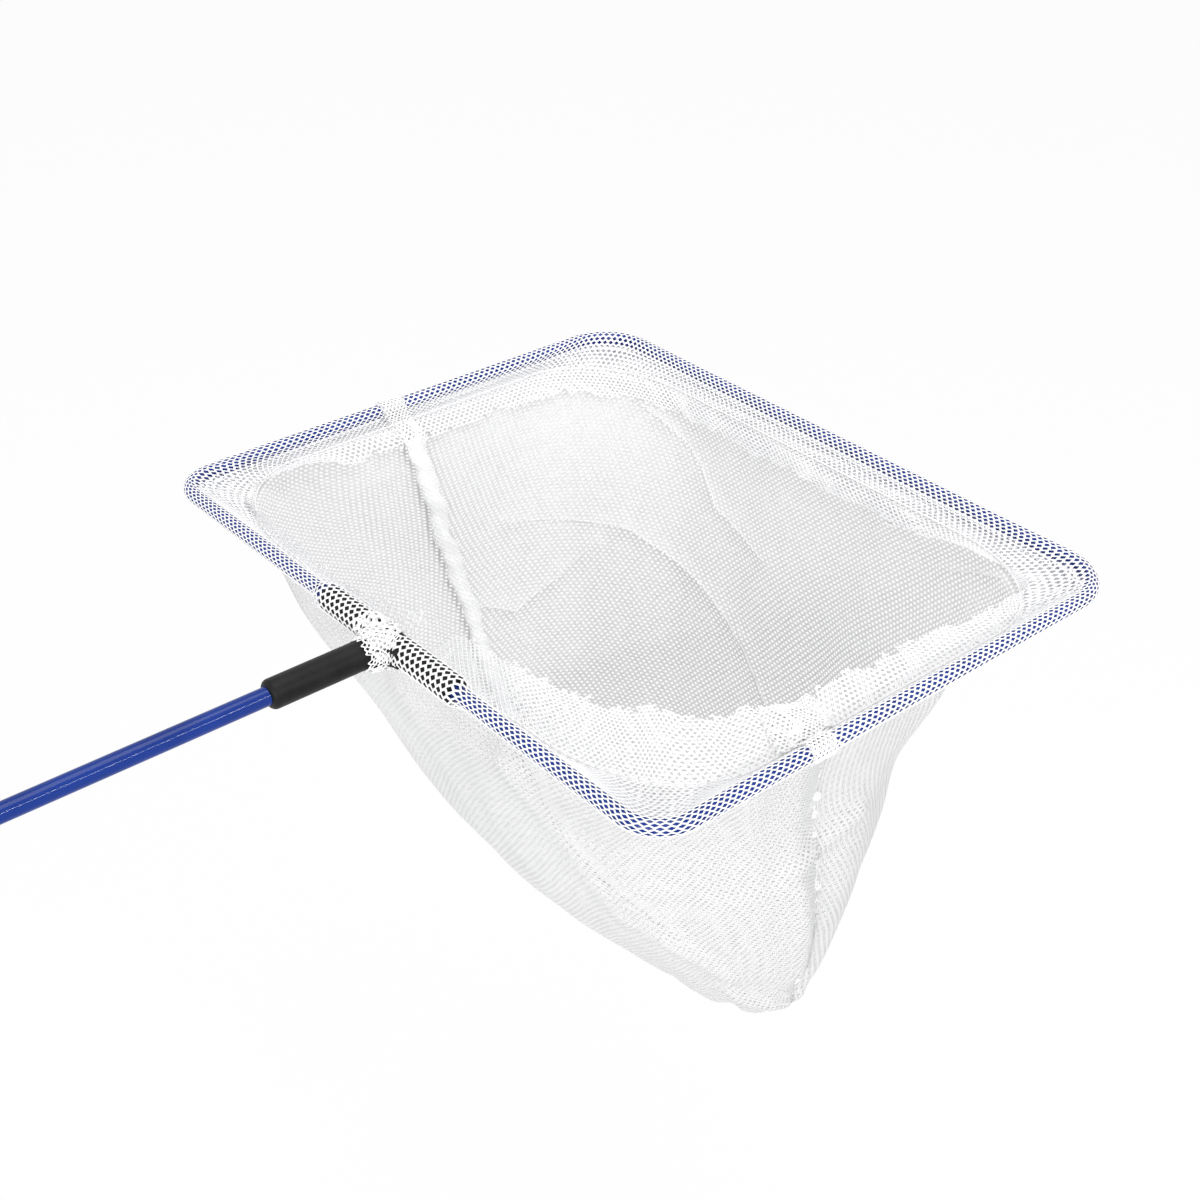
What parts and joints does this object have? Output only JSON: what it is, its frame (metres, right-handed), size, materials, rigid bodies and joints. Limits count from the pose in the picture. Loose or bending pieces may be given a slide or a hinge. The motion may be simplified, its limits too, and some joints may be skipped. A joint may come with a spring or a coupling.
{
  "type": "aquarium fish net",
  "caption": "Hand net for an aquarium: a white net bag on a rounded rectangular coated wire hoop, with a coated rod handle and a hanging eye.",
  "frame": {"origin": "centre of the hanging hole in the cap at the hand end", "axes": "+X along the handle from the hand to the hoop, +Y to the left across the hoop, +Z out of the bag's mouth, square to the hoop"},
  "size_m": [0.4621, 0.2566, 0.2064],
  "materials": {
    "steel": "bare wire under its coating",
    "blue_coating": "smooth dipped plastic",
    "black_tee": "satin moulded",
    "black_cap": "satin moulded",
    "white_net": "knitted hexagonal mesh",
    "white_hem": "knitted hexagonal mesh, doubled",
    "white_thread": "twisted sewing thread"
  },
  "bodies": {
    "root": {"handle_core": "steel", "handle_coating": "blue_coating", "end_cap": "black_cap", "tee_connector": "black_tee", "hoop_core": "steel", "hoop_coating": "blue_coating", "bag_handle_side": "white_net", "bag_far_side": "white_net", "side_seam_left": "white_hem", "side_seam_right": "white_hem", "hem_handle_left": "white_hem", "hem_handle_right": "white_hem", "hem_far": "white_hem", "hem_overlap_left": "white_hem", "hem_overlap_right": "white_hem", "hem_gather": "white_hem", "hem_thread": "white_thread"}
  },
  "joints": []
}
